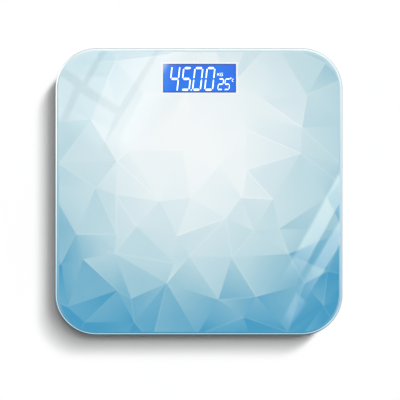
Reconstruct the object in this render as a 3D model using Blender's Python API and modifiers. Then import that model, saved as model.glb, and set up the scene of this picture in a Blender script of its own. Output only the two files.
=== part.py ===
"""Electronic body scale: a square tempered-glass platform bonded to a slim ABS tray.

Under the glass sit a printed film, the adhesive joints, the display module on its board, a two-cell
battery bay and four strain-gauge load cells, each carried in a foot cup that floats in the tray.

Frame: +Z up, +Y towards the display end, +X to the right of a user who faces the display.
The origin is on the floor, under the centre of the platform. Sizes are in millimetres and heights
are above the floor, unless a comment says otherwise.
Run with: blender --background --python part.py
"""

import math

import bmesh
import bpy
from mathutils import Matrix, Vector

MM = 0.001
OVER = 1.0  # a cutter's usual overshoot past the face it opens

# ---- Shared dimensions ----------------------------------------------------
# Layers between glass and tray
GLASS_Z0, GLASS_Z1 = 18.5, 24.5
FILM_Z0, FILM_Z1 = 18.2, 18.4
BOND_Z0, BOND_Z1 = 17.2, 18.1

# Display and its board; parts on either side of the board stand off by BOARD_GAP
DISPLAY_Y = 110.5
PCB_Z0, PCB_Z1 = 10.8, 12.0
BOARD_GAP = 0.1
UNDER_BOARD, ON_BOARD = PCB_Z0 - BOARD_GAP, PCB_Z1 + BOARD_GAP
BOARD_SCREWS = [(x, y) for y in (97.0, 122.0) for x in (-41.8, 41.8)]

# Tray
TRAY_TOP_SIDE, TRAY_FOOT_SIDE = 262.0, 257.0
TRAY_R = 31.0
TRAY_Z0, TRAY_Z1 = 3.6, 17.1
FLOOR_Z = 5.6
WALL = 2.2

# Feet
FOOT_AT = 94.0
FEET = {
    "display_left": (-FOOT_AT, FOOT_AT),
    "display_right": (FOOT_AT, FOOT_AT),
    "heel_left": (-FOOT_AT, -FOOT_AT),
    "heel_right": (FOOT_AT, -FOOT_AT),
}
LUG_W = 7.0

# Battery bay: half width, then the inside and the floor opening along Y
BAY_X = 27.0
BAY_Y0, BAY_Y1 = 35.0, 78.5
OPEN_Y0, OPEN_Y1 = 37.5, 74.5
NEAR_ROW, FAR_ROW = 50.4, 61.8
MID_ROW = (NEAR_ROW + FAR_ROW) / 2
LEAD_SLOT_Z0, LEAD_SLOT_Z1 = 12.0, 14.6

# Unit button
BUTTON_X, BUTTON_Y = -24.0, 99.0
BUTTON_R = 4.0

# ---- Scene ----------------------------------------------------------------
for old in list(bpy.data.objects):
    bpy.data.objects.remove(old, do_unlink=True)

PARTS = bpy.data.collections.new("body_scale")
CUTTERS = bpy.data.collections.new("cutters")
bpy.context.scene.collection.children.link(PARTS)
bpy.context.scene.collection.children.link(CUTTERS)


# ---- Materials ------------------------------------------------------------
def material(name, rgb, rough=0.5, metal=0.0, alpha=1.0, transmission=0.0):
    mat = bpy.data.materials.new(name)
    mat.use_nodes = True
    shader = mat.node_tree.nodes["Principled BSDF"]
    shader.inputs["Base Color"].default_value = (*rgb, 1.0)
    shader.inputs["Roughness"].default_value = rough
    shader.inputs["Metallic"].default_value = metal
    shader.inputs["Alpha"].default_value = alpha
    shader.inputs["Transmission Weight"].default_value = transmission
    mat.diffuse_color = (*rgb, alpha)
    return mat


GLASS = material("tempered_glass", rgb=(0.80, 0.93, 0.93), rough=0.03, alpha=0.35, transmission=0.9)
PRINT = material("printed_film", rgb=(0.72, 0.87, 0.92), rough=0.35)
ABS = material("white_abs", rgb=(0.90, 0.91, 0.91), rough=0.45)
ABS_GREY = material("grey_abs", rgb=(0.55, 0.57, 0.59), rough=0.5)
BOND = material("foam_tape", rgb=(0.86, 0.87, 0.86), rough=0.9)
RUBBER = material("foot_rubber", rgb=(0.12, 0.12, 0.13), rough=0.85)
STEEL = material("cell_steel", rgb=(0.62, 0.63, 0.65), rough=0.35, metal=1.0)
GAUGE = material("gauge_silicone", rgb=(0.93, 0.93, 0.90), rough=0.6)
CABLE = material("cable_jacket", rgb=(0.85, 0.85, 0.84), rough=0.5)
BOARD = material("circuit_board", rgb=(0.05, 0.25, 0.12), rough=0.5)
CHIP = material("chip_resin", rgb=(0.03, 0.03, 0.03), rough=0.4)
LCD_GLASS = material("lcd_glass", rgb=(0.08, 0.28, 0.85), rough=0.1)
POLARIZER = material("polarizer", rgb=(0.10, 0.30, 0.90), rough=0.15)
GUIDE = material("light_guide", rgb=(0.75, 0.87, 1.0), rough=0.2)
LED = material("led_body", rgb=(0.95, 0.95, 0.90), rough=0.4)
ZEBRA = material("zebra_rubber", rgb=(0.20, 0.20, 0.22), rough=0.8)
NICKEL = material("nickel_plate", rgb=(0.78, 0.77, 0.74), rough=0.25, metal=1.0)
SLEEVE = material("battery_sleeve", rgb=(0.10, 0.36, 0.25), rough=0.35)
RED = material("red_wire", rgb=(0.75, 0.05, 0.05), rough=0.45)
BLACK = material("black_wire", rgb=(0.03, 0.03, 0.03), rough=0.45)


# ---- Modelling helpers ----------------------------------------------------
def slab(size, low, high, at=(0, 0), radius=0.0, steps=8, foot=None, base=0.0, base_steps=3, lip=0.0):
    """A box from height low to high, with corners rounded in plan.

    foot is the size of the lower outline; base rounds the lower rim and lip bevels the upper one.
    """
    shape = bmesh.new()
    bmesh.ops.create_cube(shape, size=1.0)
    for v in shape.verts:
        v.co = Vector((v.co.x * size[0], v.co.y * size[1], high if v.co.z > 0 else low)) * MM

    def round_off(edges, width, segments):
        bmesh.ops.bevel(
            shape, geom=edges, offset=width * MM, offset_type="OFFSET", segments=segments,
            profile=0.5, affect="EDGES", clamp_overlap=False,
        )

    if radius:
        upright = [e for e in shape.edges if abs(e.verts[0].co.z - e.verts[1].co.z) > 1e-7]
        round_off(upright, radius, steps)
    if foot:
        for v in shape.verts:
            if abs(v.co.z - low * MM) < 1e-7:
                v.co.x *= foot[0] / size[0]
                v.co.y *= foot[1] / size[1]
    for z, width, segments in ((low, base, base_steps), (high, lip, 1)):
        if width:
            rim = [e for e in shape.edges if all(abs(v.co.z - z * MM) < 1e-7 for v in e.verts)]
            round_off(rim, width, segments)
    bmesh.ops.translate(shape, verts=shape.verts, vec=Vector((*at, 0)) * MM)
    return shape


def rod(radius, low, high, at=(0, 0), steps=24, top=None):
    """An upright cylinder, or a cone if the top radius is given."""
    shape = bmesh.new()
    bmesh.ops.create_cone(
        shape, cap_ends=True, cap_tris=False, segments=steps, radius1=radius * MM,
        radius2=(radius if top is None else top) * MM, depth=(high - low) * MM,
    )
    bmesh.ops.translate(shape, verts=shape.verts, vec=Vector((*at, (low + high) / 2)) * MM)
    return shape


def gather(shapes):
    """Several shapes that stand apart, as one bmesh."""
    whole = bmesh.new()
    for shape in shapes:
        mesh = bpy.data.meshes.new("piece")
        shape.to_mesh(mesh)
        shape.free()
        whole.from_mesh(mesh)
        bpy.data.meshes.remove(mesh)
    return whole


def add_object(name, data, mat, at=(0, 0, 0), turn=(0, 0, 0), group=PARTS):
    if mat:
        data.materials.append(mat)
    obj = bpy.data.objects.new(name, data)
    obj.location = Vector(at) * MM
    obj.rotation_euler = turn
    group.objects.link(obj)
    return obj


def place(name, shape, mat, at=(0, 0, 0), turn=(0, 0, 0), group=PARTS):
    """Makes a named object of a bmesh, with its origin at the given point."""
    bmesh.ops.recalc_face_normals(shape, faces=shape.faces)
    mesh = bpy.data.meshes.new(name)
    shape.to_mesh(mesh)
    shape.free()
    mesh.shade_smooth()
    mesh.set_sharp_from_angle(angle=math.radians(35))
    return add_object(name, mesh, mat, at, turn, group)


def join(obj, name, *shapes, at=(0, 0, 0), turn=(0, 0, 0), how="UNION"):
    """Makes a hidden helper of the shapes and applies it to obj as a Boolean."""
    helper = place(name, gather(shapes), None, at, turn, CUTTERS)
    helper.hide_render = True
    helper.display_type = "WIRE"
    mod = obj.modifiers.new(how.lower() + "_" + name, "BOOLEAN")
    mod.operation = how
    mod.solver = "EXACT"
    mod.object = helper


def cut(obj, name, *shapes, **pose):
    join(obj, name, *shapes, how="DIFFERENCE", **pose)


def turned(name, profile, mat, at, turn=(0, 0, 0), steps=32):
    """A turned piece: an open profile of (radius, height) points swept round Z."""
    mesh = bpy.data.meshes.new(name)
    edges = [(i, i + 1) for i in range(len(profile) - 1)]
    mesh.from_pydata([(r * MM, 0.0, z * MM) for r, z in profile], edges, [])
    obj = add_object(name, mesh, mat, at, turn)
    mod = obj.modifiers.new("turn", "SCREW")
    mod.axis = "Z"
    mod.angle = 2 * math.pi
    mod.screw_offset = 0.0
    mod.steps = mod.render_steps = steps
    mod.use_merge_vertices = True
    mod.merge_threshold = 1e-5
    mod.use_smooth_shade = False
    return obj


def wire(name, points, radius, mat):
    """A round wire through the given points, with closed ends."""
    curve = bpy.data.curves.new(name, "CURVE")
    curve.dimensions = "3D"
    spline = curve.splines.new("POLY")
    spline.points.add(len(points) - 1)
    for knot, (x, y, z) in zip(spline.points, points):
        knot.co = (x * MM, y * MM, z * MM, 1.0)
    curve.bevel_depth = radius * MM
    curve.bevel_resolution = 1
    curve.use_fill_caps = True
    add_object(name, curve, mat)


def eased(points, per_span=3):
    """Points of a smooth path (Catmull-Rom) through the given ones."""
    knots = [Vector(point) for point in points]
    knots = [2 * knots[0] - knots[1]] + knots + [2 * knots[-1] - knots[-2]]
    path = []
    for before, start, end, after in zip(knots, knots[1:], knots[2:], knots[3:]):
        linear = end - before
        square = 2 * before - 5 * start + 4 * end - after
        cubic = 3 * start - before - 3 * end + after
        for k in range(per_span):
            t = k / per_span
            path.append(0.5 * (2 * start + linear * t + square * t**2 + cubic * t**3))
    path.append(knots[-2])
    return path


def inward(x, y):
    """The heading in plan from a point to the platform's centre."""
    return math.atan2(-y, -x)


# ---- Platform -------------------------------------------------------------
GLASS_SIDE = 280.0
GLASS_R = 40.0
BEVEL_W, BEVEL_H = 2.0, 1.0
PRINT_INSET = 2.9
WINDOW = (70.6, 27.8)
SEAL_INSET, SEAL_W = 0.3, 1.8

# The glass is built up to its bevel, then its top face is inset and raised.
bevel_z = GLASS_Z1 - BEVEL_H
plate = slab(
    (GLASS_SIDE, GLASS_SIDE), GLASS_Z0, bevel_z, radius=GLASS_R, steps=16, base=0.8, base_steps=1
)
upper = [
    f for f in plate.faces
    if f.normal.z > 0.9 and f.calc_center_median().z > (bevel_z - 0.01) * MM
]
bmesh.ops.inset_region(
    plate, faces=upper, thickness=BEVEL_W * MM, depth=0.0, use_even_offset=True
)
for v in upper[0].verts:
    v.co.z = GLASS_Z1 * MM
place("glass_platform", plate, GLASS)

film_side = GLASS_SIDE - 2 * PRINT_INSET
film_shape = slab((film_side, film_side), FILM_Z0, FILM_Z1, radius=GLASS_R - PRINT_INSET, steps=12)
film = place("print_film", film_shape, PRINT)
window = slab(
    WINDOW, FILM_Z0 - 2 * OVER, FILM_Z1 + 2 * OVER, at=(0, DISPLAY_Y), radius=0.8, steps=2
)
cut(film, "window_cutter", window)


def seal_outline(inset, low, high):
    side = TRAY_TOP_SIDE - 2 * inset
    return slab((side, side), low, high, radius=TRAY_R - inset, steps=10)


seal = place("rim_seal", seal_outline(SEAL_INSET, BOND_Z0, BOND_Z1), BOND)
cut(seal, "seal_cutter", seal_outline(SEAL_INSET + SEAL_W, BOND_Z0 - OVER, BOND_Z1 + OVER))

# ---- Tray -----------------------------------------------------------------
RIB_T = 1.4
RIB_Z0, RIB_Z1 = FLOOR_Z - 0.4, TRAY_Z1 - 0.4
CROSS_RIB_Y = (-44.0, 0.0)
LONG_RIB_X, LONG_RIB_END = 18.0, 36.0
TOWER_RIB = 2 * (FOOT_AT - 22)  # ribs between towers run into the tower walls
TOWER_TOP = TRAY_Z1 - 0.1
POCKET_IN_R, POCKET_OUT_R = 25.0, 27.2
POCKET_CEILING = 15.3
BOSS_R, BOSS_Z = 4.5, 10.9
BAY_WALL = 1.8
BAY_CEILING = 16.2
BAY_RAILS = ((-12.0, 8.4), (0.0, 14.4), (12.0, 8.4))  # Y from the middle of the rows, lower edge
POST_R, POST_BORE_R = 3.2, 1.15
CABLE_X = 58.0

tray_shape = slab(
    (TRAY_TOP_SIDE, TRAY_TOP_SIDE), TRAY_Z0, TRAY_Z1, radius=TRAY_R, steps=12,
    foot=(TRAY_FOOT_SIDE, TRAY_FOOT_SIDE), base=2.6, lip=0.4,
)
tray = place("base_shell", tray_shape, ABS)


def inner_side(z):
    """The tray's clear width at a height, between walls that lean outwards."""
    rise = (z - TRAY_Z0) / (TRAY_Z1 - TRAY_Z0)
    return TRAY_FOOT_SIDE + (TRAY_TOP_SIDE - TRAY_FOOT_SIDE) * rise - 2 * WALL


cavity_top = TRAY_Z1 + 2 * OVER
inner_top, inner_foot = inner_side(cavity_top), inner_side(FLOOR_Z)
cavity = slab(
    (inner_top, inner_top), FLOOR_Z, cavity_top, radius=TRAY_R - WALL, steps=10,
    foot=(inner_foot, inner_foot), base=1.0, base_steps=1,
)
cut(tray, "tray_cavity", cavity)

# Ribs that run to a wall lean with it, so that their ends stay inside it.
reach, reach_foot = inner_side(RIB_Z1) + 1.8, inner_side(RIB_Z0) + 1.9
join(
    tray, "ribs_across",
    *[
        slab((reach, RIB_T), RIB_Z0, RIB_Z1, at=(0, y), foot=(reach_foot, RIB_T))
        for y in CROSS_RIB_Y
    ],
    slab((TOWER_RIB, RIB_T), RIB_Z0, RIB_Z1, at=(0, -FOOT_AT)),
)
along_z1 = RIB_Z1 - 0.2
long_size = (RIB_T, reach / 2 + LONG_RIB_END)
long_foot = (RIB_T, reach_foot + LONG_RIB_END - reach / 2)
long_y = (LONG_RIB_END - reach / 2) / 2
join(
    tray, "ribs_along",
    *[
        slab(long_size, RIB_Z0, along_z1, at=(x, long_y), foot=long_foot)
        for x in (-LONG_RIB_X, LONG_RIB_X)
    ],
    *[slab((RIB_T, TOWER_RIB), RIB_Z0, along_z1, at=(x, 0)) for x in (-FOOT_AT, FOOT_AT)],
)

# Solid towers, bay block and posts, hollowed out further down
towers = [rod(POCKET_OUT_R, FLOOR_Z - 1.4, TOWER_TOP, at=xy, steps=32) for xy in FEET.values()]
join(tray, "foot_towers", *towers)
bay_depth, bay_mid = BAY_Y1 - BAY_Y0, (BAY_Y0 + BAY_Y1) / 2
bay_block = slab(
    (2 * (BAY_X + BAY_WALL), bay_depth + 2 * BAY_WALL), FLOOR_Z - 1.2, TOWER_TOP,
    at=(0, bay_mid), radius=1.5, steps=2,
)
join(tray, "bay_walls", bay_block)
join(
    tray, "board_posts",
    *[rod(POST_R, FLOOR_Z - 0.8, PCB_Z0 - 0.15, at=xy, steps=16) for xy in BOARD_SCREWS],
    rod(6.6, FLOOR_Z - 0.8, FLOOR_Z + 0.9, at=(BUTTON_X, BUTTON_Y)),
)

# Foot pockets, each with a boss that hangs from its ceiling above the load button
pockets = [
    rod(POCKET_IN_R, TRAY_Z0 - 2 * OVER, POCKET_CEILING, at=xy, steps=32) for xy in FEET.values()
]
cut(tray, "foot_pockets", *pockets)
bosses = [rod(BOSS_R, BOSS_Z, POCKET_CEILING + 0.9, at=xy, steps=20) for xy in FEET.values()]
join(tray, "load_bosses", *bosses)

# Battery bay, its mouth in the floor and the rails along the cells
bay_room = slab((2 * BAY_X, bay_depth), FLOOR_Z, BAY_CEILING, at=(0, bay_mid))
cut(tray, "bay_cavity", bay_room)
mouth = slab(
    (2 * BAY_X, OPEN_Y1 - OPEN_Y0), TRAY_Z0 - 2 * OVER, FLOOR_Z + OVER,
    at=(0, (OPEN_Y0 + OPEN_Y1) / 2),
)
cut(tray, "bay_mouth", mouth)
rails = [
    slab((2 * BAY_X + 1.0, 1.2), z, BAY_CEILING + 0.4, at=(0, MID_ROW + y)) for y, z in BAY_RAILS
]
join(tray, "bay_rails", *rails)

# Windows for the cup lugs, slots for the cell cables and notches where cables cross ribs
lug_windows = [
    slab((2 * POCKET_OUT_R + 4, LUG_W + 1.6), 6.9, 10.4, at=xy) for xy in FEET.values()
]
cut(tray, "lug_windows", *lug_windows)


def cable_slot(x, y):
    """A slot through the pocket wall on the side nearest the platform's centre."""
    slot = slab((10.0, 4.0), 11.0, POCKET_CEILING - 0.3)
    heading = inward(x, y)
    wall_mid = (POCKET_IN_R + POCKET_OUT_R) / 2
    spin = Matrix.Rotation(heading, 3, "Z")
    bmesh.ops.rotate(slot, verts=slot.verts, cent=(0, 0, 0), matrix=spin)
    centre = Vector((x + wall_mid * math.cos(heading), y + wall_mid * math.sin(heading), 0))
    bmesh.ops.translate(slot, verts=slot.verts, vec=centre * MM)
    return slot


cut(tray, "cable_slots", *[cable_slot(x, y) for x, y in FEET.values()])
notches = [
    slab((4.4, 8.0), 10.0, TRAY_Z1 + 2 * OVER, at=(x, y))
    for x in (-CABLE_X, CABLE_X) for y in CROSS_RIB_Y
]
cut(tray, "cable_notches", *notches)

# Post bores, the button's hole and well, the battery lead slots and the thumb recess
cut(
    tray, "drilled_holes",
    *[rod(POST_BORE_R, FLOOR_Z + 0.2, PCB_Z0 + OVER, at=xy, steps=12) for xy in BOARD_SCREWS],
    rod(BUTTON_R + 0.35, TRAY_Z0 - 2 * OVER, FLOOR_Z + 0.2, at=(BUTTON_X, BUTTON_Y)),
)
cut(tray, "button_well", rod(5.7, FLOOR_Z - 0.1, FLOOR_Z + 2 * OVER, at=(BUTTON_X, BUTTON_Y)))
lead_slots = [
    slab((4.0, 2.2), LEAD_SLOT_Z0, LEAD_SLOT_Z1, at=(BAY_X + 1.0, row))
    for row in (NEAR_ROW, FAR_ROW)
]
cut(tray, "lead_slots", *lead_slots)
thumb = slab(
    (18.0, 7.0), TRAY_Z0 - OVER, TRAY_Z0 + 0.9, at=(0, OPEN_Y0 - 2.5), radius=3.0, steps=4
)
cut(tray, "thumb_recess", thumb)

# ---- Feet and load cells --------------------------------------------------
PAD_R, PAD_Z1 = 22.4, 2.2
GROOVE_R = 16.0
CUP_R, CUP_IN_R = 24.4, 22.8
CUP_Z0, CUP_Z1 = 1.0, 10.2
CUP_FLOOR_Z = PAD_Z1 + 2.0
LEDGE_R, LEDGE_Z = 14.5, 7.5
LUG_IN_R, LUG_OUT_R = CUP_IN_R + 0.4, 26.2
LUG_Z0, LUG_Z1 = 8.0, 9.6
PLATE_SIDE = 34.0
PLATE_Z0, PLATE_Z1 = 7.6, 9.4
SIDE_SLOT_X = 8.2

# Profiles of (radius, height) points
CUP = [
    (0.0, CUP_FLOOR_Z), (LEDGE_R, CUP_FLOOR_Z), (LEDGE_R, LEDGE_Z), (CUP_IN_R, LEDGE_Z),
    (CUP_IN_R, CUP_Z1), (CUP_R, CUP_Z1), (CUP_R, CUP_Z0 + 0.6), (CUP_R - 0.6, CUP_Z0),
    (PAD_R + 0.3, CUP_Z0), (PAD_R + 0.3, PAD_Z1 + 0.1), (0.0, PAD_Z1 + 0.1),
]
PAD = [
    (0.0, PAD_Z1), (PAD_R, PAD_Z1), (PAD_R, 0.5), (PAD_R - 0.5, 0.0),
    (GROOVE_R + 1.0, 0.0), (GROOVE_R + 0.6, 0.5), (GROOVE_R - 0.6, 0.5), (GROOVE_R - 1.0, 0.0),
    (0.0, 0.0),
]


def build_foot(where, x, y):
    spot = (x, y, 0)
    cup = turned("foot_cup_" + where, CUP, ABS_GREY, at=spot)
    lug_mid = (LUG_OUT_R + LUG_IN_R) / 2
    lugs = [
        slab((LUG_OUT_R - LUG_IN_R, LUG_W), LUG_Z0, LUG_Z1, at=(side * lug_mid, 0))
        for side in (-1, 1)
    ]
    join(cup, "lugs_" + where, *lugs, at=spot)
    turned("foot_pad_" + where, PAD, RUBBER, at=spot)
    place("bond_disc_" + where, rod(18.0, BOND_Z0, BOND_Z1, steps=32), BOND, at=spot)


def build_load_cell(where, x, y):
    """A square plate with clipped corners, its own +Y towards the platform's centre.

    A U-shaped slot, open on that side, frees a tongue that carries the load button.
    """
    spot = (x, y, 0)
    pose = {"at": spot, "turn": (0, 0, inward(x, y) - math.pi / 2)}
    outline = slab((PLATE_SIDE, PLATE_SIDE), PLATE_Z0, PLATE_Z1, radius=3.8, steps=1)
    cell = place("load_cell_" + where, outline, STEEL, **pose)
    side_slots = [
        slab((1.8, 23.0), PLATE_Z0 - OVER, PLATE_Z1 + OVER, at=(slot_x, -0.5))
        for slot_x in (-SIDE_SLOT_X, SIDE_SLOT_X)
    ]
    cut(cell, "side_slots_" + where, *side_slots, **pose)
    end_slot = slab((17.4, 1.7), PLATE_Z0 - 1.2, PLATE_Z1 + 1.2, at=(0, -11.0))
    cut(cell, "end_slot_" + where, end_slot, **pose)
    button = rod(3.6, PLATE_Z1 - 0.6, PLATE_Z1 + 1.0, steps=20, top=3.2)
    join(cell, "load_button_" + where, button, at=spot)
    gauge = slab(
        (8.0, 5.6), PLATE_Z1 + 0.06, PLATE_Z1 + 0.8, at=(0, 8.4), radius=1.6, steps=3, lip=0.35
    )
    place("strain_gauge_" + where, gauge, GAUGE, **pose)


for where, (x, y) in FEET.items():
    build_foot(where, x, y)
    build_load_cell(where, x, y)

# Cell cables run from above each gauge, through the pocket's slot, to below the board.
# Points (x, y, z) of the left-hand cables; the right-hand ones mirror them in X.
CELL_CABLES = {
    "heel": [
        (-86.6, -86.6, 12.6), (-80.5, -80.5, 12.9), (-73.5, -73.5, 12.9), (-62.0, -62.0, 12.5),
        (-CABLE_X, -48.0, 12.3), (-CABLE_X, 0.0, 12.3), (-CABLE_X, 60.0, 12.0),
        (-57.0, 80.0, 11.0), (-52.0, 95.0, 9.4), (-43.5, 104.0, 9.3),
    ],
    "display": [
        (-86.6, 86.6, 12.6), (-80.5, 80.5, 12.9), (-73.5, 74.5, 12.9), (-66.0, 77.0, 12.2),
        (-60.5, 92.0, 10.8), (-52.0, 108.0, 9.4), (-43.5, 115.0, 9.3),
    ],
}
for label, mirror in (("left", 1), ("right", -1)):
    for end, path in CELL_CABLES.items():
        points = eased([(mirror * x, y, z) for x, y, z in path])
        wire("cell_cable_%s_%s" % (end, label), points, 1.1, CABLE)

# ---- Display module -------------------------------------------------------
LCD_X, LCD_Y = 74.0, 31.0
LCD_Z0, LCD_Z1 = 15.3, 17.9
LCD_GAP = 0.3
FRAME_Z1 = 17.6
GUIDE_Y = DISPLAY_Y + 1.3
PCB_SIZE, PCB_Y = (90.0, 34.2), 109.8
SCREW_HOLE_R = 1.3
display_at = (0, DISPLAY_Y, 0)

place("lcd_cell", slab((LCD_X, LCD_Y), LCD_Z0, LCD_Z1), LCD_GLASS, at=display_at)
polarizer = slab((LCD_X - 1.2, LCD_Y - 1.2), LCD_Z1 + 0.05, LCD_Z1 + 0.2)
place("lcd_polarizer", polarizer, POLARIZER, at=display_at)


def screw_holes(low, high):
    return [rod(SCREW_HOLE_R, low, high, at=xy, steps=12) for xy in BOARD_SCREWS]


frame_x, frame_y = LCD_X + 2 * LCD_GAP, LCD_Y + 2 * LCD_GAP
frame_shape = slab((frame_x + 2.4, frame_y + 2.0), ON_BOARD, FRAME_Z1, radius=1.0, steps=2)
frame = place("lcd_frame", frame_shape, ABS, at=display_at)
ears = [
    slab(
        (8.0, 8.0), PCB_Z1 + 0.2, PCB_Z1 + 1.6, at=(x - math.copysign(0.8, x), y),
        radius=1.5, steps=2,
    )
    for x, y in BOARD_SCREWS
]
join(frame, "frame_ears", *ears)
cut(frame, "frame_window", slab((frame_x, frame_y), PCB_Z1 - OVER, 19.0), at=display_at)
cut(frame, "frame_drill", *screw_holes(PCB_Z1 - OVER, PCB_Z1 + 3))

guide = slab((70.0, 27.6), PCB_Z1 + 0.15, LCD_Z0 - 0.1, radius=0.6, steps=1)
place("backlight_guide", guide, GUIDE, at=(0, GUIDE_Y, 0))
for label, x in (("left", -35.9), ("right", 35.9)):
    led = slab((1.2, 3.2), ON_BOARD, PCB_Z1 + 1.5)
    place("backlight_led_" + label, led, LED, at=(x, GUIDE_Y, 0))
zebra = slab((70.0, 1.8), ON_BOARD, LCD_Z0 - 0.05, lip=0.3)
place("zebra_strip", zebra, ZEBRA, at=(0, DISPLAY_Y - LCD_Y / 2 + 1.1, 0))

board = place("main_board", slab(PCB_SIZE, PCB_Z0, PCB_Z1, radius=1.5, steps=2), BOARD, at=(0, PCB_Y, 0))
cut(board, "board_drill", *screw_holes(PCB_Z0 - OVER, PCB_Z1 + OVER))

# Components under the board; profiles are (radius, height) points
BLOB = [
    (0.0, UNDER_BOARD), (6.5, UNDER_BOARD), (6.1, PCB_Z0 - 0.7), (4.4, PCB_Z0 - 1.5),
    (2.2, PCB_Z0 - 1.85), (0.0, PCB_Z0 - 1.95),
]
CAPACITOR = [(0.0, UNDER_BOARD), (2.5, UNDER_BOARD), (2.5, 6.3), (2.2, 6.0), (0.0, 6.0)]
turned("controller_blob", BLOB, CHIP, at=(6.0, 112.0, 0), steps=20)
turned("buffer_capacitor", CAPACITOR, NICKEL, at=(20.0, 118.0, 0), steps=16)
crystal = slab((7.0, 3.0), PCB_Z0 - 3.2, UNDER_BOARD, radius=1.45, steps=4)
place("crystal_can", crystal, NICKEL, at=(-8.0, 120.0, 0))
bead = slab((3.2, 2.4), 8.6, UNDER_BOARD, radius=1.1, steps=3, base=0.6, base_steps=2)
place("thermistor_bead", bead, CHIP, at=(32.0, 121.0, 0))

# Board screws, each with a cross recess
SCREW = [
    (0.0, PCB_Z1 + 2.9), (1.3, PCB_Z1 + 2.75), (2.0, PCB_Z1 + 2.2), (2.0, PCB_Z1 + 1.7),
    (1.0, PCB_Z1 + 1.7), (1.0, FLOOR_Z + 1.3), (0.3, FLOOR_Z + 0.5), (0.0, FLOOR_Z + 0.5),
]
for i, (x, y) in enumerate(BOARD_SCREWS, 1):
    screw = turned("board_screw_%d" % i, SCREW, NICKEL, at=(x, y, 0), steps=12)
    for label, size in (("a", (2.4, 0.5)), ("b", (0.5, 2.4))):
        recess = slab(size, PCB_Z1 + 2.2, PCB_Z1 + 4.0)
        cut(screw, "slot_%s_%d" % (label, i), recess, at=(x, y, 0))

# ---- Unit button and its switch -------------------------------------------
BUTTON = [
    (0.0, 6.55), (5.3, 6.55), (5.3, 5.85), (BUTTON_R, 5.85), (BUTTON_R, 3.8),
    (BUTTON_R - 0.4, 3.4), (0.0, 3.55),
]
PLUNGER = [(0.0, 7.7), (1.7, 7.7), (1.7, 6.75), (1.5, 6.6), (0.0, 6.6)]
button_at = (BUTTON_X, BUTTON_Y, 0)
turned("unit_button", BUTTON, ABS_GREY, at=button_at, steps=28)
switch_shape = slab((6.0, 6.0), 7.3, UNDER_BOARD, radius=0.4, steps=1)
switch = place("tact_switch", switch_shape, CHIP, at=button_at)
cut(switch, "switch_bore", rod(1.9, 6.0, 8.4, steps=20), at=button_at)
turned("switch_plunger", PLUNGER, RED, at=button_at, steps=20)

# ---- Batteries and contacts -----------------------------------------------
BATTERY_R, BATTERY_LEN = 5.25, 44.5
BATTERY_Z = 10.7
BATTERY_TIP_X = BAY_X - 1.2
CONTACT_X = BAY_X - 0.6
CONTACT_T, CONTACT_W = 0.5, 9.0
CONTACT_Z0, CONTACT_Z1 = 6.4, 15.8
COIL_TURNS, COIL_STEPS = 4, 8
COIL_R0, COIL_R1 = 3.9, 2.2

# (radius, height) points. The cells lie along X, with the profile's top as the positive cap.
BATTERY = [
    (0.0, 0.0), (1.9, 0.0), (1.9, -0.9), (4.7, -1.1), (BATTERY_R, -1.7),
    (BATTERY_R, -BATTERY_LEN + 0.5), (BATTERY_R - 0.5, -BATTERY_LEN), (0.0, -BATTERY_LEN),
]
for label, row, side in (("near", NEAR_ROW, -1), ("far", FAR_ROW, 1)):
    turned(
        "battery_cell_" + label, BATTERY, SLEEVE, at=(side * BATTERY_TIP_X, row, BATTERY_Z),
        turn=(0, side * math.pi / 2, 0), steps=28,
    )


def contact(name, width, x, y):
    shape = slab((CONTACT_T, width), CONTACT_Z0, CONTACT_Z1)
    return place(name, shape, NICKEL, at=(x, y, 0))


contact("terminal_positive", CONTACT_W, CONTACT_X, FAR_ROW)
contact("terminal_negative", CONTACT_W, CONTACT_X, NEAR_ROW)
bridge = contact("bridge_contact", FAR_ROW - NEAR_ROW + CONTACT_W, -CONTACT_X, MID_ROW)
cut(bridge, "bridge_notch", slab((2.0, 2.4), 8.1, 17.0), at=(-CONTACT_X, MID_ROW, 0))


def coil(name, side, row):
    """A tapered spring from the contact on one side of the bay to the battery's flat end."""
    start = side * (CONTACT_X - 0.7)
    end = side * (BATTERY_LEN - BATTERY_TIP_X + 0.6)
    points = []
    for k in range(COIL_TURNS * COIL_STEPS + 1):
        t = k / (COIL_TURNS * COIL_STEPS)
        angle = 2 * math.pi * COIL_TURNS * t
        radius = COIL_R0 + (COIL_R1 - COIL_R0) * t
        y, z = row + radius * math.cos(angle), BATTERY_Z + radius * math.sin(angle)
        points.append((start + (end - start) * t, y, z))
    wire(name, points, 0.35, NICKEL)


coil("spring_negative", 1, NEAR_ROW)
coil("spring_bridge", -1, FAR_ROW)

# Battery leads, from the terminals out through the bay wall to below the board: (x, y, z) points
LEAD_X, LEAD_Z = CONTACT_X + 0.9, (LEAD_SLOT_Z0 + LEAD_SLOT_Z1) / 2
BLACK_LEAD = [
    (LEAD_X, NEAR_ROW, LEAD_Z), (29.5, NEAR_ROW, LEAD_Z), (34.0, 55.0, 12.6),
    (34.6, 75.0, 11.6), (33.5, 90.0, 10.0), (32.0, 96.5, 9.6),
]
RED_LEAD = [
    (LEAD_X, FAR_ROW, LEAD_Z), (29.3, FAR_ROW, LEAD_Z), (31.2, 67.0, 12.6),
    (31.4, 78.0, 11.6), (29.5, 90.0, 10.0), (28.0, 96.5, 9.6),
]
wire("battery_lead_black", eased(BLACK_LEAD), 0.65, BLACK)
wire("battery_lead_red", eased(RED_LEAD), 0.65, RED)

# ---- Battery door ---------------------------------------------------------
# The door turns about the lower edge beside its two tabs; its shapes are measured from there.
# Two slots free a latch finger at the opposite edge.
DOOR_GAP, DOOR_T = 0.4, 1.6
DOOR_DEPTH = OPEN_Y1 - OPEN_Y0 - 2 * DOOR_GAP
HINGE = (0, OPEN_Y1 - DOOR_GAP, TRAY_Z0)
TABS_X = (-17.0, 17.0)

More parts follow.
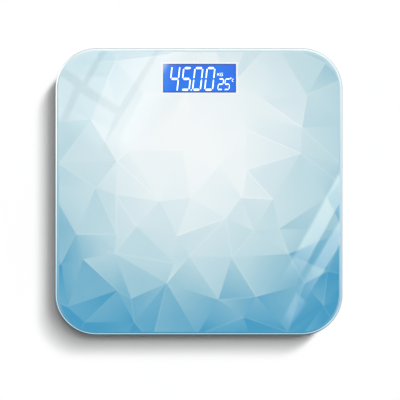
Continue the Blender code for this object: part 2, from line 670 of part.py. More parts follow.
door_shape = slab(
    (2 * (BAY_X - DOOR_GAP), DOOR_DEPTH), 0.0, DOOR_T, at=(0, -DOOR_DEPTH / 2), radius=0.8, steps=2
)
door = place("battery_door", door_shape, ABS, at=HINGE)
tabs = [slab((7.0, 3.0), DOOR_T - 0.6, 3.3, at=(x, -1.6)) for x in TABS_X]
join(door, "door_tabs", *tabs, at=HINGE)
hooks = [slab((6.6, 4.8), 2.35, 3.2, at=(x, 0.7)) for x in TABS_X]
join(door, "door_hooks", *hooks, at=HINGE)
finger_slots = [
    slab((1.0, 7.5), -OVER, DOOR_T + OVER, at=(x, 2.6 - DOOR_DEPTH)) for x in (-6.5, 6.5)
]
cut(door, "latch_slots", *finger_slots, at=HINGE)
catch = slab((9.0, 1.2), DOOR_T - 0.5, 3.4, at=(0, 1.4 - DOOR_DEPTH))
join(door, "latch_catch", catch, at=HINGE)
grip = [slab((9.0, 0.7), -0.5, 0.3, at=(0, 3.2 + 1.5 * k - DOOR_DEPTH)) for k in range(3)]
cut(door, "grip_lines", *grip, at=HINGE)
foam = slab((38.0, 5.0), DOOR_T + 0.06, 2.5, at=(0, MID_ROW - HINGE[1]))
place("door_foam", foam, BOND, at=HINGE)


# ---- Moving groups --------------------------------------------------------
def hang(label, at, names):
    """Parents the named pieces to an empty that stands on their joint's axis."""
    pivot = add_object(label, None, None, at)
    pivot.empty_display_size = 0.01
    for name in names:
        obj = bpy.data.objects[name]
        obj.location = obj.location - pivot.location
        obj.parent = pivot


FOOT_PIECES = ("foot_cup_", "foot_pad_", "load_cell_", "strain_gauge_")
for where, (x, y) in FEET.items():
    hang("slide_" + where, (x, y, 0), [piece + where for piece in FOOT_PIECES])
hang("slide_unit_button", button_at, ["unit_button", "switch_plunger"])
hang("hinge_battery_door", HINGE, ["battery_door", "door_foam"])
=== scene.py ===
"""Looks for the glass body scale: polished glass over a faceted print, a lit segment display, moulded ABS,
rubber feet and the small parts inside.

The scale stands level on its feet at z = 0, with +Z up. The camera looks straight down, with +X to the
right and +Y up the picture. The CAD frame is in metres. Sizes here are in millimetres unless a comment
says otherwise, and MM turns them into metres.
"""

import math

import bmesh
import bpy
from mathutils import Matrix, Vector
from mathutils.geometry import delaunay_2d_cdt

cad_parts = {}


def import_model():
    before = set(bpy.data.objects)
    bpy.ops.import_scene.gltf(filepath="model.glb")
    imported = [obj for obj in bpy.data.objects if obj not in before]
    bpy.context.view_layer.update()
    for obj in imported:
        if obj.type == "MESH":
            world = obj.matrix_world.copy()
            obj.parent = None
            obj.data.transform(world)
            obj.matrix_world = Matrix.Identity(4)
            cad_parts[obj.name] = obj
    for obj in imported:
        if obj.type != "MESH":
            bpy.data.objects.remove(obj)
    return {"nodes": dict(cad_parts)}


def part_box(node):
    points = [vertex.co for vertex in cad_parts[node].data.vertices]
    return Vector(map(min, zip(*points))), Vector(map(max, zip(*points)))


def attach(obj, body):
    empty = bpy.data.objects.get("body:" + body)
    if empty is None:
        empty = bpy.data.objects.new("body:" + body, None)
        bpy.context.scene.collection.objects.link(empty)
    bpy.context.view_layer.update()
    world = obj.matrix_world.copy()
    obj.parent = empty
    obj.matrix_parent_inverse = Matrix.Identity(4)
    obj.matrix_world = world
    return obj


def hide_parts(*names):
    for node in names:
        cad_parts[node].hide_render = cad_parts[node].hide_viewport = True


MM = 0.001
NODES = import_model()["nodes"]
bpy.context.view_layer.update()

FEET = ("display_left", "display_right", "heel_left", "heel_right")

# Places taken from the CAD
lcd_low, lcd_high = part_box("lcd_polarizer")
DISPLAY_Y = (lcd_low.y + lcd_high.y) / 2 / MM
FACE_Z = lcd_high.z / MM
glass_low, glass_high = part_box("glass_platform")
GLASS_HALF = glass_high.x / MM
GLASS_BOTTOM, GLASS_TOP = glass_low.z / MM, glass_high.z / MM
film_low, film_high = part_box("print_film")
FILM_HALF = film_high.x / MM

GLASS_CORNER = 40.0
FILM_CORNER = GLASS_CORNER - (GLASS_HALF - FILM_HALF)

# The clear window in the print, over the display
WINDOW_HALF_X, WINDOW_HALF_Y = 35.70, 14.05
WINDOW_X, WINDOW_Y = 0.50, DISPLAY_Y + 0.62


# ---------------------------------------------------------------------------
# Node helpers
# ---------------------------------------------------------------------------
class Shader:
    """The node tree of a material or a world, filled by short calls."""

    def __init__(self, owner, output="ShaderNodeOutputMaterial"):
        self.owner = owner
        owner.use_nodes = True
        self.tree = owner.node_tree
        self.tree.nodes.clear()
        self.output = self.node(output)

    def node(self, kind, **settings):
        made = self.tree.nodes.new(kind)
        for key, value in settings.items():
            setattr(made, key, value)
        return made

    def put(self, socket, value):
        """Links a socket to another one, or gives it a value."""
        if isinstance(value, bpy.types.NodeSocket):
            self.tree.links.new(value, socket)
        elif isinstance(value, tuple) and len(value) == 3 and socket.type == "RGBA":
            socket.default_value = (*value, 1.0)
        else:
            socket.default_value = value

    def fill(self, node, **inputs):
        """Sets a node's inputs by name, with _ for a space, and returns its outputs."""
        for key, value in inputs.items():
            self.put(node.inputs[key.replace("_", " ")], value)
        return node.outputs

    def coords(self, stretch=(1, 1, 1)):
        """Object coordinates in millimetres, times a stretch."""
        place = self.node("ShaderNodeTexCoord").outputs["Object"]
        scale = tuple(1000.0 * s for s in stretch)
        return self.fill(self.node("ShaderNodeMapping"), Vector=place, Scale=scale)["Vector"]

    def place(self):
        """Outputs X, Y and Z: object coordinates in millimetres."""
        return self.fill(self.node("ShaderNodeSeparateXYZ"), Vector=self.coords())

    def texture(self, kind, vector=None, **inputs):
        node = self.node("ShaderNodeTex" + kind)
        return self.fill(node, Vector=vector or self.coords(), **inputs)

    def noise(self, scale=1.0, detail=3.0, rough=0.5, vector=None, stretch=(1, 1, 1)):
        vector = vector or self.coords(stretch)
        return self.texture("Noise", vector, Scale=scale, Detail=detail, Roughness=rough)["Fac"]

    def wave(self, direction, scale):
        node = self.node("ShaderNodeTexWave", bands_direction=direction)
        return self.fill(node, Vector=self.coords(), Scale=scale)["Fac"]

    def attribute(self, name):
        return self.node("ShaderNodeAttribute", attribute_name=name).outputs["Fac"]

    def pointiness(self):
        return self.node("ShaderNodeNewGeometry").outputs["Pointiness"]

    def math(self, operation, a, b=0.0, clamp=False):
        node = self.node("ShaderNodeMath", operation=operation, use_clamp=clamp)
        self.put(node.inputs[0], a)
        self.put(node.inputs[1], b)
        return node.outputs[0]

    def span(self, value, over, to=(0.0, 1.0), smooth=False):
        """Maps one range of a value to another, and holds it at the ends."""
        node = self.node("ShaderNodeMapRange")
        if smooth:
            node.interpolation_type = "SMOOTHSTEP"
        limits = {"From Min": over[0], "From Max": over[1], "To Min": to[0], "To Max": to[1]}
        return self.fill(node, Value=value, **limits)["Result"]

    def blend(self, fac, a, b, mode="MIX"):
        node = self.node("ShaderNodeMix", data_type="RGBA", blend_type=mode)
        return self.fill(node, Factor=fac, A=a, B=b)["Result"]

    def ramp(self, fac, stops):
        """Colours along a value, from (place, colour) stops."""
        node = self.node("ShaderNodeValToRGB")
        band = node.color_ramp.elements
        while len(band) < len(stops):
            band.new(0.5)
        for element, (at, rgb) in zip(band, stops):
            element.position = at
            element.color = (*rgb, 1.0)
        return self.fill(node, Fac=fac)["Color"]

    def bump(self, height, distance, strength):
        """A bump normal. The distance is in metres."""
        node = self.node("ShaderNodeBump")
        return self.fill(node, Strength=strength, Distance=distance, Height=height)["Normal"]

    def shader(self, kind, **inputs):
        return self.fill(self.node("ShaderNode" + kind), **inputs)[0]

    def principled(self, **inputs):
        return self.shader("BsdfPrincipled", **inputs)

    def mix(self, fac, first, second):
        node = self.node("ShaderNodeMixShader")
        for socket, value in zip(node.inputs, (fac, first, second)):
            self.put(socket, value)
        return node.outputs[0]

    def surface(self, shader):
        self.put(self.output.inputs["Surface"], shader)
        return self.owner

    def finish(self, **inputs):
        """Ends the tree in one principled shader."""
        return self.surface(self.principled(**inputs))


def material(name):
    return Shader(bpy.data.materials.new(name))


def linear(value):
    value /= 255
    return value / 12.92 if value <= 0.04045 else ((value + 0.055) / 1.055) ** 2.4


def srgb(*rgb):
    """A display colour, 0 to 255, as linear light."""
    return tuple(linear(v) for v in rgb)


def toned(rgb, gain, lift=0.0):
    return tuple(min(1.0, v * gain + lift) for v in rgb)


# ---------------------------------------------------------------------------
# Mesh helpers
# ---------------------------------------------------------------------------
def rounded_square(half, radius, steps):
    """Corners of a rounded square outline, anticlockwise from the +X side."""
    points = []
    for k, (sx, sy) in enumerate(((1, 1), (-1, 1), (-1, -1), (1, -1))):
        for i in range(steps + 1):
            angle = math.pi / 2 * (k + i / steps)
            x = sx * (half - radius) + radius * math.cos(angle)
            y = sy * (half - radius) + radius * math.sin(angle)
            points.append((x, y))
    return points


def loft(rings):
    """A closed skin over rings of equal count."""
    bm = bmesh.new()
    rows = [[bm.verts.new(Vector(p) * MM) for p in ring] for ring in rings]
    for a, b in zip(rows, rows[1:]):
        for i in range(len(a)):
            j = (i + 1) % len(a)
            bm.faces.new((a[i], a[j], b[j], b[i]))
    bm.faces.new(rows[0][::-1])
    bm.faces.new(rows[-1])
    bmesh.ops.recalc_face_normals(bm, faces=bm.faces)
    return bm


def lathe(profile, steps, centre):
    """A turned solid from (radius, height) points that start and end on the axis."""
    bm = bmesh.new()
    rings = []
    for radius, z in profile:
        count = 1 if radius < 1e-6 else steps
        ring = []
        for i in range(count):
            angle = 2 * math.pi * i / steps
            x = centre[0] + radius * math.cos(angle)
            y = centre[1] + radius * math.sin(angle)
            ring.append(bm.verts.new(Vector((x, y, z)) * MM))
        rings.append(ring)
    for a, b in zip(rings, rings[1:]):
        for i in range(steps):
            j = (i + 1) % steps
            if len(a) == 1:
                bm.faces.new((a[0], b[j], b[i]))
            elif len(b) == 1:
                bm.faces.new((a[i], a[j], b[0]))
            else:
                bm.faces.new((a[i], a[j], b[j], b[i]))
    bmesh.ops.recalc_face_normals(bm, faces=bm.faces)
    return bm


def as_object(name, bm, *materials):
    mesh = bpy.data.meshes.new(name)
    bm.to_mesh(mesh)
    bm.free()
    for mat in materials:
        mesh.materials.append(mat)
    obj = bpy.data.objects.new(name, mesh)
    bpy.context.scene.collection.objects.link(obj)
    return obj


def piece(name, bm, *materials, slot, body="platform", replaces=None, smooth=None):
    """A part of the scale. With a smooth angle, in degrees, all but its many-sided faces are smooth."""
    obj = as_object(name, bm, *materials)
    mesh = obj.data
    if smooth:
        mesh.shade_smooth()
        mesh.set_sharp_from_angle(angle=math.radians(smooth))
        for face in mesh.polygons:
            face.use_smooth = len(face.vertices) <= 4
    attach(obj, body)
    if replaces:
        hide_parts(replaces)


def crisp_group(angle=32.0):
    """Joins a CAD mesh's seams and shades it smooth, with its sharper edges kept crisp."""
    group = bpy.data.node_groups.new("smooth_with_crisp_edges", "GeometryNodeTree")
    for way in ("INPUT", "OUTPUT"):
        group.interface.new_socket("Geometry", in_out=way, socket_type="NodeSocketGeometry")
    first, last, weld, bend, sharp, shade = (
        group.nodes.new(kind)
        for kind in (
            "NodeGroupInput", "NodeGroupOutput", "GeometryNodeMergeByDistance",
            "GeometryNodeInputMeshEdgeAngle", "FunctionNodeCompare", "GeometryNodeSetMeshNormal",
        )
    )
    weld.inputs["Distance"].default_value = 1e-6
    sharp.inputs["B"].default_value = math.radians(angle)
    for source, target in (
        (first.outputs[0], weld.inputs["Geometry"]),
        (weld.outputs[0], shade.inputs["Mesh"]),
        (bend.outputs["Unsigned Angle"], sharp.inputs["A"]),
        (sharp.outputs[0], shade.inputs["Edge Sharpness"]),
        (shade.outputs[0], last.inputs[0]),
    ):
        group.links.new(source, target)
    return group


CRISP = crisp_group()


def dress(name, mat):
    """Gives a CAD node its material and a modifier for its shading. Its mesh is left as it came."""
    obj = NODES[name]
    obj.data.materials.clear()
    obj.data.materials.append(mat)
    obj.modifiers.new("crisp", "NODES").node_group = CRISP


# ---------------------------------------------------------------------------
# Materials of the platform
# ---------------------------------------------------------------------------
# Ink by tone, from near white to deep sky blue
INK = [
    (0.00, srgb(246, 250, 252)), (0.20, srgb(232, 243, 246)), (0.35, srgb(215, 233, 239)),
    (0.50, srgb(200, 225, 232)), (0.62, srgb(186, 217, 227)), (0.75, srgb(152, 198, 215)),
    (0.85, srgb(127, 184, 209)), (0.93, srgb(104, 173, 205)), (1.00, srgb(78, 159, 199)),
]
# Correction for the light: a level taken off, then a gain for red, green and blue
INK_LIFT, INK_GAIN = 0.014, (1.020, 0.990, 0.985)
INK_STOPS = [
    (at, tuple(max(0.0, (v - INK_LIFT) * gain) for v, gain in zip(rgb, INK_GAIN)))
    for at, rgb in INK
]


def passing(mat, solid, tint, far=None):
    """Lets shadow and diffuse rays through a clear piece, so that what lies under it is lit.
    The far tint is for surfaces over 13 mm away: the ground edge turns that light aside, so it
    shades the floor."""
    path = mat.node("ShaderNodeLightPath").outputs
    if far:
        tint = mat.blend(mat.span(path["Ray Length"], over=(0.012, 0.014)), tint, far)
    through = mat.shader("BsdfTransparent", Color=tint)
    fac = mat.math("MAXIMUM", path["Is Shadow Ray"], path["Is Diffuse Ray"])
    return mat.mix(fac, solid, through)


def glass_material():
    mat = material("tempered_glass_polished")
    ripple = mat.noise(scale=0.02, detail=2.0)
    smudge = mat.noise(scale=0.06, detail=4.0, rough=0.6)
    shader = mat.principled(
        Base_Color=(0.985, 0.997, 0.995),
        Roughness=mat.span(smudge, over=(0.45, 0.8), to=(0.0, 0.035)),
        IOR=1.5,
        Transmission_Weight=1.0,
        Normal=mat.bump(ripple, distance=0.0004, strength=0.05),
    )
    return mat.surface(passing(mat, shader, tint=(0.985, 0.992, 0.992)))


def rim_material():
    """The ground and polished edge: it scatters light, and takes some of the colour of the print
    beside it, a painted refraction. Painted light and shade by side, and a line that glows as a
    painted highlight, are in its colour too. Its attributes are set where the plate is built."""
    mat = material("tempered_glass_rim")
    tone = mat.attribute("tone")
    depth = mat.attribute("rim")
    side = mat.attribute("outer")
    dip = mat.attribute("dip")
    # The inner part: paler on the upper and right sides as painted light, with a painted shade in
    # its middle, most on the lower side and some on the left
    pale = mat.span(side, over=(0.13, 0.67), to=(0.03, 0.32))
    beside = mat.blend(pale, mat.ramp(tone, INK_STOPS), (0.93, 0.98, 1.0))
    middle = mat.math(
        "MINIMUM", mat.span(depth, over=(0.36, 0.55)), mat.span(depth, over=(1.0, 0.8))
    )
    shade = mat.math("MULTIPLY", mat.math("MULTIPLY", dip, middle), 0.34)
    beside = mat.blend(shade, beside, (0.0, 0.02, 0.03))
    # The outer part, from a painted shade at its very edge (near black on the lower side, grey on
    # the upper) to a painted highlight
    painted_glint = mat.ramp(
        tone, [(0.25, (0.90, 0.95, 0.96)), (0.65, (0.78, 0.89, 0.93)), (0.95, (0.38, 0.62, 0.73))]
    )
    grey = mat.blend(side, (0.05, 0.07, 0.08), (0.42, 0.45, 0.47))
    outer = mat.blend(mat.span(depth, over=(0.04, 0.22)), grey, painted_glint)
    colour = mat.blend(mat.span(depth, over=(0.34, 0.55)), outer, beside)
    grind = mat.noise(scale=2.0, detail=4.0, rough=0.6, stretch=(1, 1, 3))
    ground = mat.ramp(grind, [(0.3, (0.7, 0.8, 0.82)), (0.7, (1, 1, 1))])
    # A painted highlight: a line round the edge that glows, strongest on the left side, about half
    # as strong on the lower one, and faint on the right and top
    line = mat.math(
        "MULTIPLY", mat.span(depth, over=(0.04, 0.24)), mat.span(depth, over=(0.50, 0.31))
    )
    power = mat.math(
        "MINIMUM",
        mat.span(side, over=(0.13, 0.40), to=(0.52, 1.15)),
        mat.span(side, over=(0.40, 0.67), to=(1.15, 0.05)),
    )
    shader = mat.principled(
        Base_Color=mat.blend(0.08, colour, ground, mode="MULTIPLY"),
        Roughness=mat.span(grind, over=(0.3, 0.7), to=(0.12, 0.24)),
        IOR=1.5,
        Transmission_Weight=0.12,
        Coat_Weight=0.6,
        Coat_Roughness=0.05,
        Emission_Color=painted_glint,
        Emission_Strength=mat.math("MULTIPLY", line, power),
        Normal=mat.bump(grind, distance=0.00002, strength=0.3),
    )
    mat.owner.cycles.emission_sampling = "NONE"
    return mat.surface(passing(mat, shader, tint=(0.97, 0.98, 0.98), far=(0.05, 0.06, 0.06)))


def print_material():
    mat = material("printed_ink")
    tone = mat.attribute("tone")
    grain = mat.noise(scale=1.6, detail=4.0, rough=0.6)
    cloud = mat.noise(scale=0.035)
    value = mat.math("ADD", tone, mat.span(cloud, over=(0.3, 0.7), to=(-0.012, 0.012)))
    speckle = mat.span(grain, over=(0.3, 0.7), to=(-0.006, 0.006))
    colour = mat.ramp(mat.math("ADD", value, speckle, clamp=True), INK_STOPS)
    # A painted shade on the band round the film's edge, darker where the ink is deep
    deep = mat.span(tone, over=(0.55, 1.0), smooth=True)
    dark = mat.blend(deep, (0.93, 0.93, 0.93), (0.66, 0.66, 0.66))
    edge_shaded = mat.blend(1.0, colour, dark, mode="MULTIPLY")
    return mat.finish(
        Base_Color=mat.blend(mat.attribute("edging"), colour, edge_shaded),
        Roughness=mat.span(grain, over=(0.3, 0.7), to=(0.40, 0.52)),
        Specular_IOR_Level=0.25,
        Normal=mat.bump(grain, distance=0.00001, strength=0.2),
    )


def backing_material():
    mat = material("printed_backing")
    grain = mat.noise(scale=1.2, detail=4.0, rough=0.6)
    colour = mat.ramp(grain, [(0.3, (0.80, 0.82, 0.83)), (0.7, (0.88, 0.89, 0.90))])
    return mat.finish(Base_Color=colour, Roughness=0.6)


# ---------------------------------------------------------------------------
# Glass plate
# ---------------------------------------------------------------------------
def look_up(table, value):
    """Runs straight between the (place, value) rows of a table, and holds its last value."""
    for (a, low), (b, high) in zip(table, table[1:]):
        if value <= b:
            return low + (high - low) * (value - a) / (b - a)
    return table[-1][1]


def ease(value, length):
    """0 below zero and 1 past the length, even between them."""
    return min(1.0, max(0.0, value / length))


# Distance from the palest place, as a share of the reach, and the print's tone there
FALL = [
    (0.0, 0.0), (0.15, 0.0), (0.30, 0.06), (0.40, 0.13), (0.50, 0.23), (0.60, 0.33), (0.70, 0.43),
    (0.80, 0.54), (0.90, 0.62), (1.0, 0.72), (1.1, 0.83), (1.2, 0.92), (1.3, 0.98), (1.42, 1.0),
]
PALE_X, PALE_Y = -10, 65
REACH_RIGHT, REACH_LEFT, REACH_UP, REACH_DOWN = 162, 152, 152, 166


def field(x, y):
    """The print's tone: white above the middle, deepest at the lower corners."""
    across = (x - PALE_X) / (REACH_RIGHT if x > PALE_X else REACH_LEFT)
    up = (y - PALE_Y) / (REACH_UP if y > PALE_Y else REACH_DOWN)
    tone = look_up(FALL, math.hypot(across, up))
    # Paler along the upper left edge, and a little deeper just inside it
    tone -= 0.10 * ease(y - 20, 35) * ease(-x - 95, 30)
    tone += 0.05 * ease(y - 60, 25) * ease(-x - 35, 20) * ease(112 + x, 20)
    return max(0.0, tone)


# Inset, height, and how far in the ring is: 0 on the outer edge, 1 beside the print
LOWER_RINGS = [
    (3.10, GLASS_BOTTOM, 1.0), (0.85, GLASS_BOTTOM, 0.6), (0.42, GLASS_BOTTOM + 0.13, 0.0),
    (0.13, GLASS_BOTTOM + 0.42, 0.0), (0.0, GLASS_BOTTOM + 0.85, 0.0),
]
UPPER_RINGS = [
    (0.0, GLASS_TOP - 2.00, 0.0), (0.10, GLASS_TOP - 1.55, 0.0), (0.30, GLASS_TOP - 1.20, 0.08),
    (0.60, GLASS_TOP - 0.90, 0.27), (1.00, GLASS_TOP - 0.62, 0.31), (1.45, GLASS_TOP - 0.36, 0.50),
    (1.95, GLASS_TOP - 0.12, 0.72), (2.30, GLASS_TOP - 0.02, 0.9), (2.50, GLASS_TOP, 1.0),
    (2.75, GLASS_TOP, 1.0),
]
UPPER_DEPTHS = [(inset, depth) for inset, _, depth in UPPER_RINGS]
PLATE_STEPS = 40


def by_side(x, y, right, top, left, bottom):
    """Goes evenly from one side's value to the next one's round the corners of the plate."""
    flat = GLASS_HALF - GLASS_CORNER
    nx, ny = (math.copysign(max(0.0, abs(v) - flat), v) for v in (x, y))
    size = nx * nx + ny * ny
    if size < 1e-9:
        return (right + top + left + bottom) / 4
    return (nx * nx * (right if nx > 0 else left) + ny * ny * (top if ny > 0 else bottom)) / size


def build_plate():
    rings, stations = [], []
    for row in LOWER_RINGS + UPPER_RINGS:
        inset, z, _ = row
        outline = rounded_square(GLASS_HALF - inset, GLASS_CORNER - inset, PLATE_STEPS)
        rings.append([(x, y, z) for x, y in outline])
        stations += [row] * len(outline)
    plate = loft(rings)
    tone, rim, outer, dip = (
        plate.verts.layers.float.new(name) for name in ("tone", "rim", "outer", "dip")
    )
    plate.verts.ensure_lookup_table()
    lower_count = len(LOWER_RINGS) * len(rings[0])
    for k, (vert, (inset, _, depth)) in enumerate(zip(plate.verts, stations)):
        x, y = vert.co.x / MM, vert.co.y / MM
        if k >= lower_count:
            # The rim's painted bands of light and shade sit further in on the lower side, and a little on
            # the right and top
            shift = by_side(x, y, right=0.45, top=0.40, left=0.0, bottom=0.9)
            depth = look_up(UPPER_DEPTHS, inset - shift)
        vert[tone] = field(x, y)
        vert[rim] = depth
        # Side shares for the rim's painted light and shade: the first is high on the top and right sides,
        # which face the light, and the second is the strength of a painted shade, most on the lower side
        vert[outer] = by_side(x, y, right=0.67, top=0.79, left=0.40, bottom=0.13)
        vert[dip] = by_side(x, y, right=0.0, top=0.05, left=0.24, bottom=0.5)
    for face in plate.faces:
        face.material_index = 1 if len(face.verts) == 4 else 0
    piece("glass_plate", plate, glass_material(), rim_material(),
          slot="tempered_glass", replaces="glass_platform", smooth=50)


build_plate()

# ---------------------------------------------------------------------------
# Printed film: flat facets with their own soft gradients, clipped to the film's outline and to the
# window
# ---------------------------------------------------------------------------
EDGE_SHADE_BAND = 0.75  # width of the band round the film's edge, which carries a painted shade
LINE = 1.8  # width of the pale line round the window
FILM_STEPS = 24
GRID_X, GRID_Y = 37.0, 34.0  # pitch of the facets' corners
GRID_REACH = 6  # rows and columns to each side of the middle
STRAY = 0.40  # how far a corner strays, as a share of the pitch
STEP, TILT = 0.095, 0.075  # how much tone changes between facets, and across one
FALL_STEP = 8.0  # distance over which the plate's own fall of tone is taken
CREASE, LIFT = 1.4, 0.10  # width of a paler band along an edge, and how much paler it is
CREASE_LONGEST = 70


def wobble(a, b, k):
    """A repeatable number between -1 and 1 for a place."""
    s = math.sin(a * 12.9898 + b * 78.233 + k * 37.719) * 43758.5453
    return 2 * (s - math.floor(s)) - 1


def turn(a, b, p):
    """Over zero where p lies left of the line from a to b."""
    return (b[0] - a[0]) * (p[1] - a[1]) - (b[1] - a[1]) * (p[0] - a[0])


def holds(loop, p):
    """Whether a convex anticlockwise loop holds a point."""
    return all(turn(a, b, p) >= 0 for a, b in zip(loop, loop[1:] + loop[:1]))


def within(loop, p):
    """Whether any closed loop holds a point."""
    found = False
    for (xa, ya), (xb, yb) in zip(loop, loop[1:] + loop[:1]):
        if (ya > p[1]) != (yb > p[1]) and p[0] < xa + (p[1] - ya) / (yb - ya) * (xb - xa):
            found = not found
    return found


def film_outline(inset):
    return rounded_square(FILM_HALF - inset, FILM_CORNER - inset, FILM_STEPS)


def window_outline(grow):
    x, y = WINDOW_HALF_X + grow, WINDOW_HALF_Y + grow
    return [(WINDOW_X + a * x, WINDOW_Y + b * y) for a, b in ((-1, -1), (1, -1), (1, 1), (-1, 1))]


class Facet:
    """One facet, with one flat slope of tone: part of the plate's own fall, and part its own tilt."""

    def __init__(self, corners):
        self.corners = corners
        self.centre = cx, cy = tuple(sum(p[k] for p in corners) / len(corners) for k in (0, 1))
        reach = max(math.dist(p, self.centre) for p in corners)
        base = sum(field(*p) for p in corners) / len(corners)
        angle = math.pi * wobble(cx, cy, 1)
        # Facets of a middling tone differ most from their neighbours.
        self.depth = 1.03 * base + STEP * wobble(cx, cy, 2) * (0.25 + base) * (1.3 - base)
        tilt = TILT * (0.25 + self.depth) / reach
        h = FALL_STEP
        fall_x = (field(cx + h, cy) - field(cx - h, cy)) / (2 * h)
        fall_y = (field(cx, cy + h) - field(cx, cy - h)) / (2 * h)
        self.slope_x = 0.45 * fall_x + tilt * math.cos(angle)
        self.slope_y = 0.45 * fall_y + tilt * math.sin(angle)

    def tone(self, p):
        dx, dy = p[0] - self.centre[0], p[1] - self.centre[1]
        return min(1.0, max(0.0, self.depth + self.slope_x * dx + self.slope_y * dy))


def ribbon(p, q, width):
    """A thin band along a line."""
    along = (Vector(q) - Vector(p)).normalized() * width / 2
    aside = Vector((-along.y, along.x))
    p, q = Vector(p), Vector(q)
    return [tuple(v) for v in (p - aside, q - aside, q + aside, p + aside)]


def lay_out_facets():
    """Triangles of a loose grid whose points stray by a rule. Some edges get a paler band."""
    spots = []
    for r in range(-GRID_REACH, GRID_REACH + 1):
        for c in range(-GRID_REACH, GRID_REACH + 1):
            x = GRID_X * (c + 0.5 * (r % 2) + STRAY * wobble(c, r, 5))
            spots.append(Vector((x, GRID_Y * (r + STRAY * wobble(c, r, 6)))))
    places, edges, triangles, _, _, _ = delaunay_2d_cdt(spots, [], [], 0, 1e-6)
    places = [(v.x, v.y) for v in places]
    facets = [Facet([places[i] for i in tri]) for tri in triangles]
    bands = []
    for i, j in edges:
        p, q = places[i], places[j]
        x, y = p[0] + q[0], p[1] + q[1]
        if wobble(x, y, 7) > 0.40 and field(x / 2, y / 2) > 0.15:
            if math.dist(p, q) < CREASE_LONGEST:
                bands.append(ribbon(p, q, CREASE))
    return places, [tuple(e) for e in edges], facets, bands


def build_film():
    points, edges, facets, bands = lay_out_facets()
    outer, inner = film_outline(0.0), film_outline(EDGE_SHADE_BAND)
    window, line = window_outline(0.0), window_outline(LINE)
    for loop in (outer, inner, window, line, *bands):
        start, count = len(points), len(loop)
        edges += [(start + i, start + (i + 1) % count) for i in range(count)]
        points += loop
    points, _, triangles, _, _, _ = delaunay_2d_cdt([Vector(p) for p in points], edges, [], 0, 1e-5)

    film = bmesh.new()
    tone_layer = film.loops.layers.float.new("tone")
    edging_layer = film.loops.layers.float.new("edging")
    verts = [film.verts.new((v.x * MM, v.y * MM, film_high.z)) for v in points]
    for tri in triangles:
        a, b, c = ((points[i].x, points[i].y) for i in tri)
        at = ((a[0] + b[0] + c[0]) / 3, (a[1] + b[1] + c[1]) / 3)
        if not holds(outer, at) or holds(window, at):
            continue
        owner = next((f for f in facets if within(f.corners, at)), None)
        owner = owner or min(facets, key=lambda f: math.dist(f.centre, at))
        lift = LIFT if any(within(band, at) for band in bands) else 0.0
        lift *= 1.0 - 0.55 * owner.depth
        in_line, in_middle = holds(line, at), holds(inner, at)
        face = film.faces.new([verts[i] for i in tri])
        for loop, p in zip(face.loops, (a, b, c)):
            # A painted shade on the band round the film's edge, strongest on the left side and least on
            # the right
            edging = by_side(*p, right=0.05, top=0.10, left=0.15, bottom=0.10)
            loop[tone_layer] = 0.0 if in_line else max(0.0, owner.tone(p) - lift)
            loop[edging_layer] = 0.0 if in_middle else edging
    bmesh.ops.delete(film, geom=[v for v in film.verts if not v.link_faces], context="VERTS")
    bmesh.ops.recalc_face_normals(film, faces=film.faces)
    if sum(f.normal.z for f in film.faces) < 0:
        bmesh.ops.reverse_faces(film, faces=film.faces)

    # The upper faces carry the ink, and the rest of the film's thickness is the backing.
    upper = list(film.faces)
    grown = bmesh.ops.extrude_face_region(film, geom=upper, use_keep_orig=True)
    lowered = [g for g in grown["geom"] if isinstance(g, bmesh.types.BMVert)]
    bmesh.ops.translate(film, verts=lowered, vec=(0, 0, -(film_high.z - film_low.z)))
    kept = set(upper)
    for face in film.faces:
        face.material_index = 0 if face in kept else 1
    bmesh.ops.recalc_face_normals(film, faces=film.faces)
    piece("print_artwork", film, print_material(), backing_material(),
          slot="printed_film", replaces="print_film")


build_film()


# ---------------------------------------------------------------------------
# Display: lit segments just above the polarizer, for 45.00 kg and 25 °C
# ---------------------------------------------------------------------------
def display_material():
    """Even blue light that falls off towards its frame, with fine electrode lines and a painted
    reflection in its upper left corner.
    """
    mat = material("display_face")
    place = mat.place()
    x = mat.math("ABSOLUTE", mat.math("SUBTRACT", place["X"], WINDOW_X))
    y = mat.math("SUBTRACT", place["Y"], WINDOW_Y)
    side, top = (
        mat.span(distance, over=(half - 1.4, half - 0.5), smooth=True)
        for distance, half in ((x, WINDOW_HALF_X), (mat.math("ABSOLUTE", y), WINDOW_HALF_Y))
    )
    glow = mat.noise(scale=0.045, detail=2.0, rough=0.4)
    blue = mat.ramp(glow, [(0.35, srgb(52, 124, 250)), (0.65, srgb(46, 142, 253))])
    along = mat.span(place["X"], over=(-35.0, 35.0))
    blue = mat.blend(mat.math("MULTIPLY", along, 0.55), blue, srgb(66, 122, 250))
    framed = mat.math("MULTIPLY", mat.math("MAXIMUM", side, top), 0.90)
    colour = mat.blend(framed, blue, srgb(34, 74, 158))
    # A painted reflection: a pale sheen in the upper left corner
    from_left = mat.math("MULTIPLY", mat.math("ADD", place["X"], WINDOW_HALF_X), 1.0)
    from_top = mat.math("MULTIPLY", mat.math("SUBTRACT", WINDOW_HALF_Y, y), 0.55)
    reach = mat.math("ADD", from_left, from_top)
    sheen = mat.span(reach, over=(8.5, 1.0), to=(0.0, 0.62), smooth=True)
    colour = mat.blend(sheen, colour, srgb(196, 222, 246))
    lines = mat.math("MULTIPLY", mat.wave("Y", scale=0.6), 0.05)
    colour = mat.blend(lines, colour, (0.02, 0.10, 0.6))
    return mat.finish(
        Base_Color=mat.blend(0.95, colour, (0.0, 0.0, 0.0)),
        Roughness=0.35,
        Specular_IOR_Level=0.2,
        Emission_Color=colour,
        Emission_Strength=0.91,
    )


